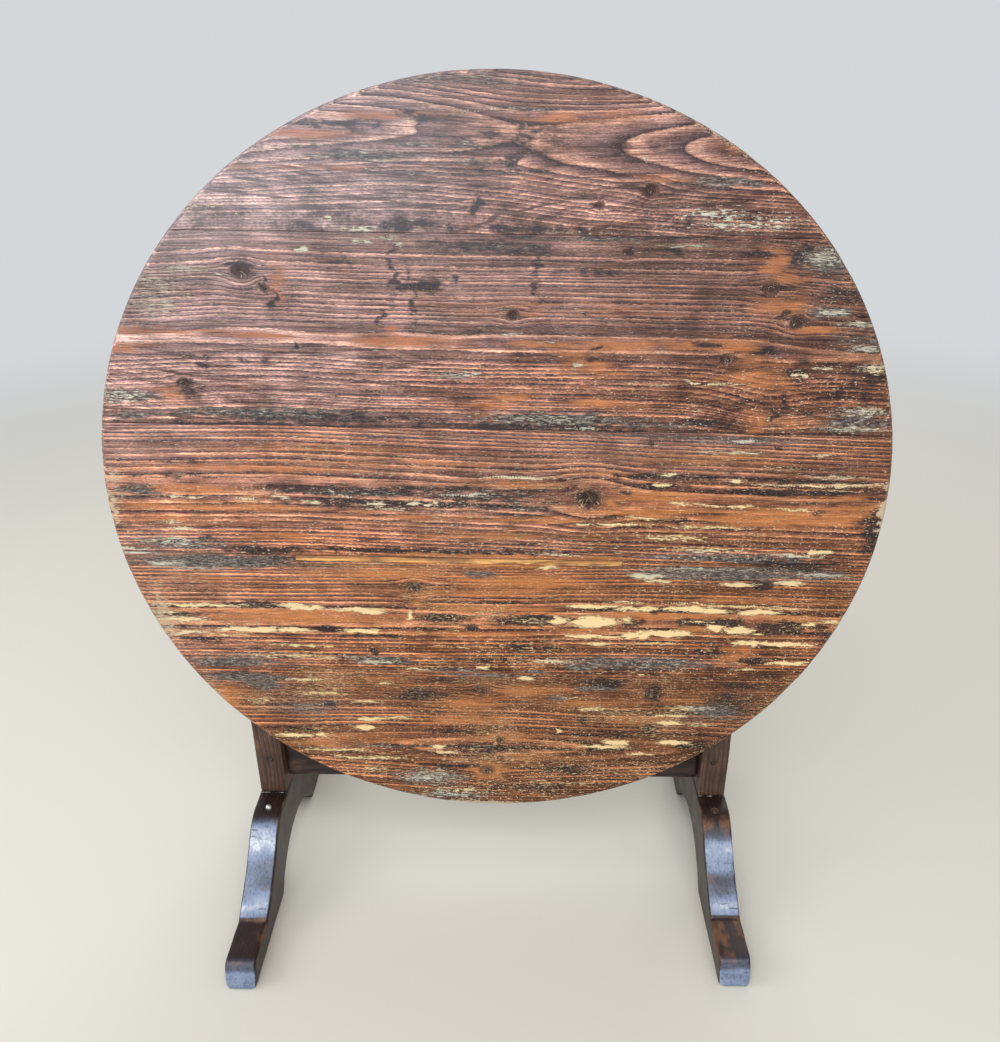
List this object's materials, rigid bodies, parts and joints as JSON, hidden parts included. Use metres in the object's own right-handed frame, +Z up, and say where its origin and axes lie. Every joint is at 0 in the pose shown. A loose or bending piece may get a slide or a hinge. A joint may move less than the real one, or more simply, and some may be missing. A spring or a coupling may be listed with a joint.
{
  "type": "wine tasting table",
  "caption": "Round boarded tilt-top table on a trestle of two posts with shaped sledge feet, two rails and a swing-out gate that locks the top level.",
  "frame": {"origin": "on the floor, under the middle of the round top when it is tipped up; halfway between the toes front to back", "axes": "+Z up; -Y is the front, the side that the face of the tipped-up top looks to; +X is to the right seen from the front, along the pivot line"},
  "size_m": [1.0998, 0.612, 1.2459],
  "materials": {
    "pine_top": "worn stained pine, satin",
    "pine_strip": "paler let-in pine, satin",
    "dark_base": "dark stained hardwood, polished by wear",
    "post_wood": "brown stained wood, satin",
    "underside_wood": "bare aged wood, matt",
    "iron": "worn bare iron"
  },
  "bodies": {
    "trestle": {"post_left": "post_wood", "post_right": "post_wood", "foot_left": "dark_base", "foot_right": "dark_base", "lower_rail": "dark_base", "upper_rail": "dark_base", "rail_pegs": "dark_base", "foot_nail": "iron", "foot_peg": "dark_base"},
    "top": {"plank_1": "pine_top", "plank_2": "pine_top", "plank_3": "pine_top", "plank_4": "pine_top", "plank_5": "pine_top", "joint_strip": "pine_strip", "batten_left": "underside_wood", "batten_right": "underside_wood", "batten_screws": "iron", "pivot_block_left": "underside_wood", "pivot_block_right": "underside_wood", "block_screws": "iron", "pivot_pin_left": "underside_wood", "pivot_pin_right": "underside_wood", "keeper": "underside_wood", "keeper_screws": "iron"},
    "gate": {"gate_stile": "post_wood", "gate_wing": "post_wood", "gate_pegs": "dark_base"}
  },
  "joints": [
    {"name": "top_tilt", "type": "hinge", "parent": "trestle", "child": "top", "pos_m": [-0.011, 0, 0.676], "axis": [-1, 0, 0], "range_deg": [0, 90]},
    {"name": "gate_swing", "type": "hinge", "parent": "trestle", "child": "gate", "pos_m": [-0.011, 0, 0.4], "axis": [0, 0, 1], "range_deg": [0, 90]}
  ]
}
